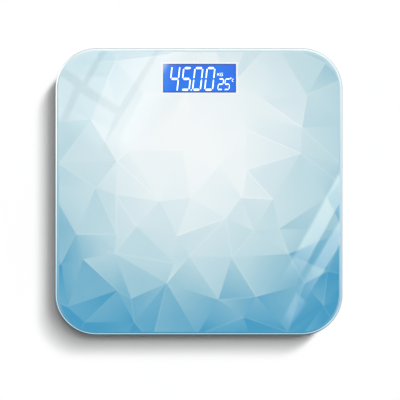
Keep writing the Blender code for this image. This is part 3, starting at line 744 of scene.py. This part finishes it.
def segment_material():
    mat = material("display_segments")
    soft = mat.noise(scale=0.6, detail=2.0)
    return mat.finish(
        Base_Color=(0.75, 0.85, 0.95),
        Roughness=0.4,
        Emission_Color=mat.ramp(soft, [(0.35, (0.86, 0.95, 1.0)), (0.65, (0.96, 0.99, 1.0))]),
        Emission_Strength=1.15,
    )


SLANT = 0.115  # lean to the right, per unit of height
SEGMENT_LOW, SEGMENT_HIGH = FACE_Z + 0.02, FACE_Z + 0.06
LEVEL_WEIGHT = 1.72  # thickness of a level bar over that of an upright one

# Segments by letter: a top, b and c right, d bottom, e and f left, g middle
SEGMENTS = {"4": "fgbc", "5": "afgcd", "0": "abcdef", "2": "abged"}

# Letters as lines within a cell of height 1
LETTER_K = [((0, 0), (0, 1)), ((0.06, 0.46), (0.76, 1)), ((0.22, 0.58), (0.78, 0))]
LETTER_G = [
    ((0.78, 0.98), (0.04, 0.98)), ((0, 0.94), (0, 0.06)), ((0.04, 0.02), (0.78, 0.02)),
    ((0.78, 0.06), (0.78, 0.48)), ((0.78, 0.48), (0.42, 0.48)),
]
LETTER_C = [((0.6, 1), (0.02, 1)), ((0, 0.95), (0, 0.05)), ((0.02, 0), (0.6, 0))]

segments = bmesh.new()


def stroke(start, end, width, base, tip=0.5):
    """A bar with mitred ends, leaning from the height of its base with the rest of the figure."""
    a, b = Vector(start), Vector(end)
    u = (b - a).normalized()
    aside = Vector((-u.y, u.x)) * width / 2
    mitre = u * width * tip
    outline = [
        a, a + mitre + aside, b - mitre + aside, b, b - mitre - aside, a + mitre - aside,
    ]
    low, high = (
        [segments.verts.new(Vector((v.x + SLANT * (v.y - base), v.y, z)) * MM) for v in outline]
        for z in (SEGMENT_LOW, SEGMENT_HIGH)
    )
    segments.faces.new(low[::-1])
    segments.faces.new(high)
    for i in range(6):
        j = (i + 1) % 6
        segments.faces.new((low[i], low[j], high[j], high[i]))


def figure(digit, x, y, height, width, bar, gap):
    """A seven-segment figure round its centre. Its upright bars run on where no level bar meets
    them."""
    lit = SEGMENTS[digit]
    level = bar * LEVEL_WEIGHT
    w, h = (width - bar) / 2, (height - level) / 2
    top = h - gap if "a" in lit else h + level / 2
    bottom = -h + gap if "d" in lit else -h - level / 2
    places = {name: ((-w + gap, at), (w - gap, at)) for name, at in (("a", h), ("g", 0), ("d", -h))}
    places.update({name: ((at, gap), (at, top)) for name, at in (("f", -w), ("b", w))})
    places.update({name: ((at, bottom), (at, -gap)) for name, at in (("e", -w), ("c", w))})
    for name in lit:
        p, q = places[name]
        thickness = level if p[1] == q[1] else bar
        stroke((x + p[0], y + p[1]), (x + q[0], y + q[1]), thickness, base=y)


def sketch(lines, x, y, size, width):
    for (xa, ya), (xb, yb) in lines:
        start, end = (x + xa * size, y + ya * size), (x + xb * size, y + yb * size)
        stroke(start, end, width, base=y, tip=0.25)


def build_display():
    for digit, x in zip("4500", (-23.9, -12.25, -1.25, 10.6)):
        figure(digit, x, DISPLAY_Y, height=23.2, width=8.75, bar=1.16, gap=0.62)
    point_y = DISPLAY_Y - 10.8
    stroke((-8.15, point_y), (-6.95, point_y), width=1.1, base=point_y, tip=0.1)
    for digit, x in zip("25", (21.2, 27.6)):
        figure(digit, x, DISPLAY_Y - 5.2, height=11.4, width=5.3, bar=0.66, gap=0.34)
    sketch(LETTER_K, 17.95, DISPLAY_Y + 2.9, size=2.8, width=0.40)
    sketch(LETTER_G, 20.9, DISPLAY_Y + 2.9, size=2.8, width=0.40)
    sketch(LETTER_C, 32.4, DISPLAY_Y - 2.5, size=2.2, width=0.46)
    # The degree sign, an eight-sided ring
    x, y, radius = 31.0, DISPLAY_Y + 0.6, 0.62
    angles = [k * math.pi / 4 for k in range(8)]
    ring = [(x + radius * math.cos(a), y + radius * math.sin(a)) for a in angles]
    for p, q in zip(ring, ring[1:] + ring[:1]):
        stroke(p, q, width=0.34, base=DISPLAY_Y, tip=0.1)
    bmesh.ops.recalc_face_normals(segments, faces=segments.faces)
    piece("display_segments", segments, segment_material(), slot="polarizer")
    dress("lcd_polarizer", display_material())


build_display()


# ---------------------------------------------------------------------------
# Rubber foot pads
# ---------------------------------------------------------------------------
def rubber_material():
    mat = material("foot_rubber_matt")
    pores = mat.noise(scale=2.5, detail=5.0, rough=0.65)
    dust = mat.noise(scale=0.12, detail=5.0, rough=0.65)
    colour = mat.ramp(dust, [(0.35, (0.018, 0.018, 0.020)), (0.72, (0.060, 0.060, 0.062))])
    worn = mat.span(mat.pointiness(), over=(0.51, 0.58), to=(0.0, 0.6))
    return mat.finish(
        Base_Color=mat.blend(worn, colour, (0.12, 0.12, 0.12)),
        Roughness=mat.span(dust, over=(0.3, 0.7), to=(0.62, 0.85)),
        Specular_IOR_Level=0.3,
        Sheen_Weight=0.15,
        Normal=mat.bump(pores, distance=0.00006, strength=0.5),
    )


GROOVES = (17.6, 13.6, 9.6, 5.6)  # middle radii of the grooves in the underside
# One side of a groove: distance from its middle, and height
GROOVE_SIDE = [(0.85, 0.0), (0.70, 0.08), (0.5, 0.42), (0.3, 0.5)]
PAD_STEPS = 96


def build_pad(where, rubber):
    low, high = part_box("foot_pad_" + where)
    centre = ((low.x + high.x) / 2 / MM, (low.y + high.y) / 2 / MM)
    radius, top = (high.x - low.x) / 2 / MM, high.z / MM
    profile = [
        (0.0, top), (radius - 0.25, top), (radius - 0.05, top - 0.1), (radius, top - 0.3),
        (radius, 0.6), (radius - 0.12, 0.25), (radius - 0.35, 0.07), (radius - 0.65, 0.0),
    ]
    for groove in GROOVES:
        profile += [(groove + off, z) for off, z in GROOVE_SIDE]
        profile += [(groove - off, z) for off, z in reversed(GROOVE_SIDE)]
    # A shallow hollow in the middle
    profile += [(2.2, 0.0), (1.7, 0.12), (1.0, 0.3), (0.0, 0.34)]
    piece("rubber_pad_" + where, lathe(profile, PAD_STEPS, centre), rubber, body="foot_" + where,
          slot="foot_rubber", replaces="foot_pad_" + where, smooth=40)


rubber = rubber_material()
for where in FEET:
    build_pad(where, rubber)


# ---------------------------------------------------------------------------
# Materials of the CAD nodes that keep their shape
# ---------------------------------------------------------------------------
def plastic(name, rgb, rough):
    """Moulded plastic: a fine spark-eroded texture, faint flow marks and rubbed high spots."""
    mat = material(name)
    grain_size = 0.35
    fine = mat.noise(scale=1.0 / grain_size, rough=0.6)
    flow = mat.noise(scale=0.02, stretch=(1, 0.35, 1))
    scuff = mat.noise(scale=0.25, detail=6.0, rough=0.7)
    colour = mat.blend(mat.span(flow, over=(0.3, 0.7)), toned(rgb, gain=0.94), rgb)
    scuffed = mat.span(scuff, over=(0.55, 0.8), to=(0.0, 0.35))
    colour = mat.blend(scuffed, colour, toned(rgb, gain=1.04, lift=0.01))
    worn = mat.span(mat.pointiness(), over=(0.52, 0.60), to=(0.0, 0.5))
    return mat.finish(
        Base_Color=mat.blend(worn, colour, toned(rgb, gain=1.08, lift=0.02)),
        Roughness=mat.span(scuff, over=(0.3, 0.75), to=(rough + 0.07, rough - 0.06)),
        IOR=1.5,
        Specular_IOR_Level=0.45,
        Normal=mat.bump(fine, distance=0.00004, strength=0.35),
    )


def foam_material():
    mat = material("bond_foam_cells")
    cells = mat.texture("Voronoi", Scale=1.6)["Distance"]
    fine = mat.noise(scale=3.0, detail=4.0)
    # Darker in the hollows of the cells, where the bump sinks: a painted shade
    colour = mat.ramp(
        mat.math("MULTIPLY", cells, 1.6),
        [(0.0, (0.62, 0.63, 0.63)), (0.5, (0.80, 0.81, 0.80)), (1.0, (0.86, 0.87, 0.86))],
    )
    return mat.finish(
        Base_Color=colour,
        Roughness=0.9,
        Specular_IOR_Level=0.2,
        Normal=mat.bump(mat.math("ADD", cells, fine), distance=0.0001, strength=0.5),
    )


def steel(name, rgb, rough, stretch):
    """Rolled sheet: streaks along the rolling direction, and a little oxide."""
    mat = material(name)
    streak = mat.noise(detail=5.0, rough=0.6, stretch=stretch)
    stain = mat.noise(scale=0.15, detail=5.0, rough=0.6)
    colour = mat.blend(mat.span(streak, over=(0.35, 0.7)), toned(rgb, gain=0.86), rgb)
    oxide = tuple(v * k for v, k in zip(rgb, (0.80, 0.74, 0.66)))
    return mat.finish(
        Base_Color=mat.blend(mat.span(stain, over=(0.55, 0.8), to=(0.0, 0.3)), colour, oxide),
        Metallic=1.0,
        Roughness=mat.span(streak, over=(0.3, 0.7), to=(rough + 0.10, rough - 0.04)),
        Normal=mat.bump(streak, distance=0.00002, strength=0.3),
    )


def soft(name, rgb, rough, scatter=0.15):
    """A plain, slightly cloudy material that lets a little light in."""
    mat = material(name)
    cloud = mat.noise(scale=0.5, detail=4.0, rough=0.6)
    fine = mat.noise(scale=3.0)
    clouded = mat.span(cloud, over=(0.3, 0.7))
    return mat.finish(
        Base_Color=mat.blend(clouded, toned(rgb, gain=0.88), toned(rgb, gain=1.03)),
        Roughness=mat.span(fine, over=(0.3, 0.7), to=(rough - 0.06, rough + 0.08)),
        Subsurface_Weight=scatter,
        Subsurface_Scale=0.001,
        Normal=mat.bump(fine, distance=0.00003, strength=0.3),
    )


def board_material():
    """Green solder mask over copper tracks, with rows of small pads."""
    mat = material("circuit_board_tracks")
    vector = mat.coords()
    weave = mat.noise(scale=6.0, vector=vector)
    tracks = mat.texture(
        "Brick", vector, Scale=0.22, Mortar_Size=0.045,
        Color1=(0, 0, 0), Color2=(0, 0, 0), Mortar=(1, 1, 1),
    )["Color"]
    dots = mat.texture("Voronoi", vector, Scale=0.28, Randomness=0.55)["Distance"]
    pad = mat.span(dots, over=(0.11, 0.14), to=(1.0, 0.0))
    woven = mat.span(weave, over=(0.35, 0.65))
    mask = mat.blend(woven, (0.010, 0.110, 0.045), (0.016, 0.150, 0.062))
    colour = mat.blend(tracks, mask, (0.035, 0.26, 0.10))
    return mat.finish(
        Base_Color=mat.blend(pad, colour, (0.72, 0.70, 0.62)),
        Metallic=mat.math("MULTIPLY", pad, 0.9),
        Roughness=mat.span(weave, over=(0.3, 0.7), to=(0.26, 0.40)),
        Coat_Weight=0.4,
        Normal=mat.bump(tracks, distance=0.00003, strength=0.4),
    )


def resin_material():
    mat = material("cured_resin")
    orange_peel = mat.noise(scale=0.8)
    dust = mat.noise(scale=2.0, detail=5.0, rough=0.7)
    return mat.finish(
        Base_Color=mat.ramp(dust, [(0.4, (0.012, 0.012, 0.013)), (0.75, (0.045, 0.045, 0.048))]),
        Roughness=mat.span(dust, over=(0.3, 0.7), to=(0.22, 0.42)),
        Normal=mat.bump(orange_peel, distance=0.0002, strength=0.3),
    )


def zebra_material():
    """Elastomer with a fine row of conductive stripes."""
    mat = material("zebra_stripes")
    stripes = mat.wave("X", scale=0.9)
    return mat.finish(
        Base_Color=mat.ramp(stripes, [(0.40, (0.01, 0.01, 0.01)), (0.60, (0.42, 0.42, 0.44))]),
        Roughness=0.6,
        Normal=mat.bump(stripes, distance=0.00004, strength=0.4),
    )


def guide_material():
    """Milky acrylic with printed dots that spread the light."""
    mat = material("light_guide_dots")
    dots = mat.texture("Voronoi", Scale=0.9, Randomness=0.1)["Distance"]
    dot = mat.span(dots, over=(0.25, 0.32), to=(1.0, 0.0))
    return mat.finish(
        Base_Color=mat.blend(dot, (0.70, 0.84, 0.98), (0.96, 0.97, 0.98)),
        Roughness=mat.span(dot, over=(0.0, 1.0), to=(0.12, 0.5)),
        Transmission_Weight=0.4,
        Emission_Color=(0.35, 0.55, 1.0),
        Emission_Strength=0.25,
    )


def sleeve_material():
    """A battery's shrink sleeve in two plain colours, with its steel ends bare."""
    mat = material("battery_sleeve_plain")
    place = mat.place()
    # The two cells lie to either side of y = 56 and point opposite ways.
    way = mat.span(place["Y"], over=(56.0, 56.2), to=(-1.0, 1.0))
    along = mat.math("MULTIPLY", place["X"], way)
    wrap = mat.noise(scale=0.4, detail=4.0, rough=0.6)
    green = mat.blend(mat.span(wrap, over=(0.3, 0.7)), (0.012, 0.110, 0.070), (0.018, 0.150, 0.095))
    copper = mat.blend(mat.span(wrap, over=(0.3, 0.7)), (0.62, 0.46, 0.22), (0.74, 0.57, 0.30))
    colour = mat.blend(mat.span(along, over=(11.0, 11.3)), green, copper)
    ends = mat.math(
        "MAXIMUM", mat.span(along, over=(24.05, 24.10)), mat.span(along, over=(-18.45, -18.50))
    )
    return mat.finish(
        Base_Color=mat.blend(ends, colour, (0.70, 0.69, 0.66)),
        Metallic=mat.span(ends, over=(0.0, 1.0), to=(0.25, 1.0)),
        Roughness=mat.span(wrap, over=(0.3, 0.7), to=(0.24, 0.36)),
        Coat_Weight=0.3,
        Normal=mat.bump(wrap, distance=0.00006, strength=0.3),
    )


ABS = plastic("abs_white_moulded", (0.80, 0.815, 0.82), rough=0.40)
GREY = plastic("abs_grey_moulded", (0.30, 0.32, 0.34), rough=0.42)
FOAM = foam_material()
CELL = steel("load_cell_steel", (0.60, 0.61, 0.63), rough=0.30, stretch=(0.12, 4.0, 4.0))
NICKEL = steel("nickel_plated", (0.74, 0.72, 0.68), rough=0.20, stretch=(1, 1, 1))
POTTING = soft("gauge_potting", (0.86, 0.86, 0.82), rough=0.45, scatter=0.3)
JACKET = soft("cable_jacket_soft", (0.72, 0.73, 0.73), rough=0.42)
BOARD = board_material()
RESIN = resin_material()
RED = soft("red_insulation_soft", (0.55, 0.02, 0.02), rough=0.38)
BLACK = soft("black_insulation_soft", (0.02, 0.02, 0.02), rough=0.38)
LCD = soft("display_cell_glass", (0.10, 0.26, 0.70), rough=0.12, scatter=0.0)
SLEEVE = sleeve_material()
GUIDE = guide_material()
ZEBRA = zebra_material()
LED = soft("led_package", (0.85, 0.84, 0.70), rough=0.35, scatter=0.2)

LOOKS = {
    "base_shell": ABS, "lcd_frame": ABS, "battery_door": ABS, "unit_button": GREY,
    "rim_seal": FOAM, "door_foam": FOAM, "main_board": BOARD, "controller_blob": RESIN,
    "thermistor_bead": RESIN, "tact_switch": RESIN, "lcd_cell": LCD, "backlight_guide": GUIDE,
    "backlight_led_left": LED, "backlight_led_right": LED, "zebra_strip": ZEBRA,
    "terminal_positive": NICKEL, "terminal_negative": NICKEL, "bridge_contact": NICKEL,
    "spring_negative": NICKEL, "spring_bridge": NICKEL, "buffer_capacitor": NICKEL,
    "crystal_can": NICKEL, "battery_cell_near": SLEEVE, "battery_cell_far": SLEEVE,
    "battery_lead_red": RED, "switch_plunger": RED, "battery_lead_black": BLACK,
}
for k in range(1, 5):
    LOOKS["board_screw_%d" % k] = NICKEL
FOOT_LOOKS = {
    "foot_cup_": GREY, "bond_disc_": FOAM, "load_cell_": CELL,
    "strain_gauge_": POTTING, "cell_cable_": JACKET,
}
for where in FEET:
    for part, mat in FOOT_LOOKS.items():
        LOOKS[part + where] = mat
for name, mat in LOOKS.items():
    dress(name, mat)

# ---------------------------------------------------------------------------
# Studio, in metres
# ---------------------------------------------------------------------------
scene = bpy.context.scene
scene.view_settings.view_transform = "Standard"


def floor_material():
    """Pale to the camera, darker to other rays, and clear from below."""
    mat = material("studio_floor")
    veil = mat.noise(scale=0.004)
    pale = mat.ramp(veil, [(0.3, (0.895, 0.895, 0.895)), (0.7, (0.91, 0.91, 0.91))])
    seen = mat.node("ShaderNodeLightPath").outputs["Is Camera Ray"]
    solid = mat.principled(
        Base_Color=mat.blend(seen, (0.34, 0.34, 0.34), pale), Roughness=0.9, Specular_IOR_Level=0.0
    )
    back = mat.node("ShaderNodeNewGeometry").outputs["Backfacing"]
    return mat.surface(mat.mix(back, solid, mat.shader("BsdfTransparent")))


def build_floor():
    steps = (-14.0, -4.0, -1.0, -0.3, 0.3, 1.0, 4.0, 14.0)
    bm = bmesh.new()
    grid = [[bm.verts.new((x, y, 0.0)) for x in steps] for y in steps]
    for near, far in zip(grid, grid[1:]):
        for c in range(len(steps) - 1):
            bm.faces.new((near[c], near[c + 1], far[c + 1], far[c]))
    floor = as_object("studio_floor", bm, floor_material())
    floor.location.z = -0.00005
    return floor


def build_world():
    """Plain white to the camera, and a soft dim gradient as light."""
    world = bpy.data.worlds.new("studio")
    scene.world = world
    sky = Shader(world, "ShaderNodeOutputWorld")
    place = sky.node("ShaderNodeTexCoord").outputs["Generated"]
    height = sky.fill(sky.node("ShaderNodeSeparateXYZ"), Vector=place)["Z"]
    stops = [(at, (v, v * 1.005, v * 1.01)) for at, v in ((0.0, 0.85), (0.5, 0.55), (1.0, 0.30))]
    lit = sky.shader("Background", Color=sky.ramp(height, stops), Strength=0.34)
    seen = sky.shader("Background", Color=(1, 1, 1), Strength=1.0)
    sky.surface(sky.mix(sky.node("ShaderNodeLightPath").outputs["Is Camera Ray"], lit, seen))


floor = build_floor()
build_world()


def sun(name, energy, at, width):
    """A sun shining on the origin, as wide as an angle in degrees. It doesn't show in the glass."""
    data = bpy.data.lights.new(name, "SUN")
    data.energy = energy
    data.angle = math.radians(width)
    obj = bpy.data.objects.new(name, data)
    scene.collection.objects.link(obj)
    obj.location = at
    obj.rotation_euler = (Vector((0, 0, 0)) - Vector(at)).to_track_quat("-Z", "Y").to_euler()
    obj.visible_glossy = False
    obj.visible_transmission = False
    return obj


# One large soft source from the upper right, as five suns: each gives the plate the same light, so
# that the shadow at the lower left fades evenly and wraps a little way round the corners.
# Degrees above the floor, degrees round from +X, and width in degrees
KEYS = [(70.5, 59, 17), (58.5, 40, 14), (48.5, 48, 11), (41, 48, 9), (35.5, 48, 8)]
KEY_LIGHT = 0.600  # what each gives a level surface
SUN_DISTANCE = 2
for k, (rise, around, width) in enumerate(KEYS):
    low, up, around = math.cos(math.radians(rise)), math.sin(math.radians(rise)), math.radians(around)
    at = tuple(SUN_DISTANCE * v for v in (low * math.cos(around), low * math.sin(around), up))
    sun("key_%d" % k, KEY_LIGHT / up, at, width)


def light_underside():
    """A soft light from below, for views of the underside. It lights the tray and what sits in it,
    passes the floor, and has no bounces, so the floor's own shadow stays as it is."""
    under = sun("under", energy=1.7, at=(0, 0, -SUN_DISTANCE), width=55)
    under.data.cycles.max_bounces = 0
    below = bpy.data.collections.new("underside")
    for name in LOOKS:
        if not name.startswith(("lcd", "backlight", "rim_seal")):
            below.objects.link(NODES[name])
    for where in FEET:
        below.objects.link(bpy.data.objects["rubber_pad_" + where])
    under.light_linking.receiver_collection = below
    let_by = bpy.data.collections.new("lets_it_by")
    let_by.objects.link(floor)
    let_by.collection_objects[0].light_linking.link_state = "EXCLUDE"
    under.light_linking.blocker_collection = let_by


light_underside()

# ---------------------------------------------------------------------------
# Camera, straight above
# ---------------------------------------------------------------------------
LENS, SENSOR = 85.0, 36.0  # millimetres
VIEW_WIDTH = 0.3898  # metres across the picture, just under the top of the glass
EYE_Z = glass_high.z - 0.0006 + VIEW_WIDTH / 2 / (SENSOR / 2 / LENS)
EYE = Vector((0.0010, -0.0080, EYE_Z))

camera = bpy.data.cameras.new("camera")
camera.lens, camera.sensor_width = LENS, SENSOR
camera.clip_start, camera.clip_end = 0.05, 60.0
camera_object = bpy.data.objects.new("camera", camera)
scene.collection.objects.link(camera_object)
camera_object.location = EYE
scene.camera = camera_object

# ---------------------------------------------------------------------------
# Soft panels that only show as reflections in the glass, each given by the shape it should draw on
# the platform
# ---------------------------------------------------------------------------
PANEL_Z = 1.9  # metres
PANEL_STEPS = 8


def reflected(x, y):
    """Where a light must hang for the camera to see it at a point of the platform."""
    top = glass_high.z
    k = (PANEL_Z - top) / (EYE.z - top)
    return Vector((x * MM + (x * MM - EYE.x) * k, y * MM + (y * MM - EYE.y) * k, PANEL_Z))


def panel_material(name, radiance, soft, ends, tint):
    mat = material(name)
    place = mat.node("ShaderNodeUVMap", uv_map="panel").outputs[0]
    split = mat.fill(mat.node("ShaderNodeSeparateXYZ"), Vector=place)
    across, along = (
        mat.math(
            "MULTIPLY",
            mat.span(split[axis], over=(0.0, start), smooth=True),
            mat.span(split[axis], over=(1.0, 1.0 - end), smooth=True),
        )
        for axis, (start, end) in (("X", soft), ("Y", ends))
    )
    strength = mat.math("MULTIPLY", mat.math("MULTIPLY", across, along), radiance)
    both = mat.node("ShaderNodeAddShader")
    mat.put(both.inputs[0], mat.shader("Emission", Color=tint, Strength=strength))
    mat.put(both.inputs[1], mat.shader("BsdfTransparent"))
    mat.owner.cycles.emission_sampling = "NONE"
    return mat.surface(both.outputs[0])


def panel(name, corners, radiance, soft, ends, tint=(1.0, 1.0, 1.0)):
    """Its corners run up one side and back down the other. It fades over a share of its width at
    each side, soft, and of its length at each end, ends."""
    a, b, c, d = (reflected(*p) for p in corners)
    shares = [i / PANEL_STEPS for i in range(PANEL_STEPS + 1)]
    bm = bmesh.new()
    uv = bm.loops.layers.uv.new("panel")
    grid = [[bm.verts.new(a.lerp(b, t).lerp(d.lerp(c, t), s)) for s in shares] for t in shares]
    for i in range(PANEL_STEPS):
        for k in range(PANEL_STEPS):
            spots = ((k, i), (k + 1, i), (k + 1, i + 1), (k, i + 1))
            face = bm.faces.new([grid[v][u] for u, v in spots])
            for loop, (u, v) in zip(face.loops, spots):
                loop[uv].uv = (shares[u], shares[v])
    obj = as_object(name, bm, panel_material(name, radiance, soft, ends, tint))
    obj.visible_camera = False
    obj.visible_diffuse = False
    obj.visible_transmission = False
    obj.visible_shadow = False


panel("gloss_inner", [(72.5, -94), (146, 39), (154, 19), (93.5, -94)],
      radiance=5.8, soft=(0.26, 0.14), ends=(0.42, 0.02), tint=(1.0, 0.88, 0.70))
panel("gloss_outer", [(91.5, -100), (156, 6), (156, -25), (99, -115)],
      radiance=5.2, soft=(0.24, 0.20), ends=(0.46, 0.02), tint=(1.0, 0.89, 0.76))
panel("gloss_tail", [(77, -130), (94, -96), (106, -108), (89, -136)],
      radiance=2.3, soft=(0.2, 0.35), ends=(0.5, 0.05))
panel("pane_upper", [(-111.5, 102.5), (-89, 141), (-39.5, 141), (-78.5, 79.5)],
      radiance=2.0, soft=(0.07, 0.05), ends=(0.08, 0.02))
panel("pane_lower", [(-134, 60), (-116.5, 99.5), (-79, 76.5), (-98, 30)],
      radiance=1.7, soft=(0.08, 0.07), ends=(0.50, 0.08))
panel("pane_corner", [(-133, 119), (-112, 153), (-90, 145), (-112.5, 105)],
      radiance=2.2, soft=(0.10, 0.14), ends=(0.10, 0.02))
panel("pane_left", [(-150, 44), (-150, 127), (-118.5, 103.5), (-134.5, 68)],
      radiance=2.0, soft=(0.12, 0.12), ends=(0.30, 0.08))
panel("pane_inner", [(-99, 38), (-37, 140), (-4, 140), (-58, 20)],
      radiance=1.5, soft=(0.08, 0.70), ends=(0.20, 0.02))
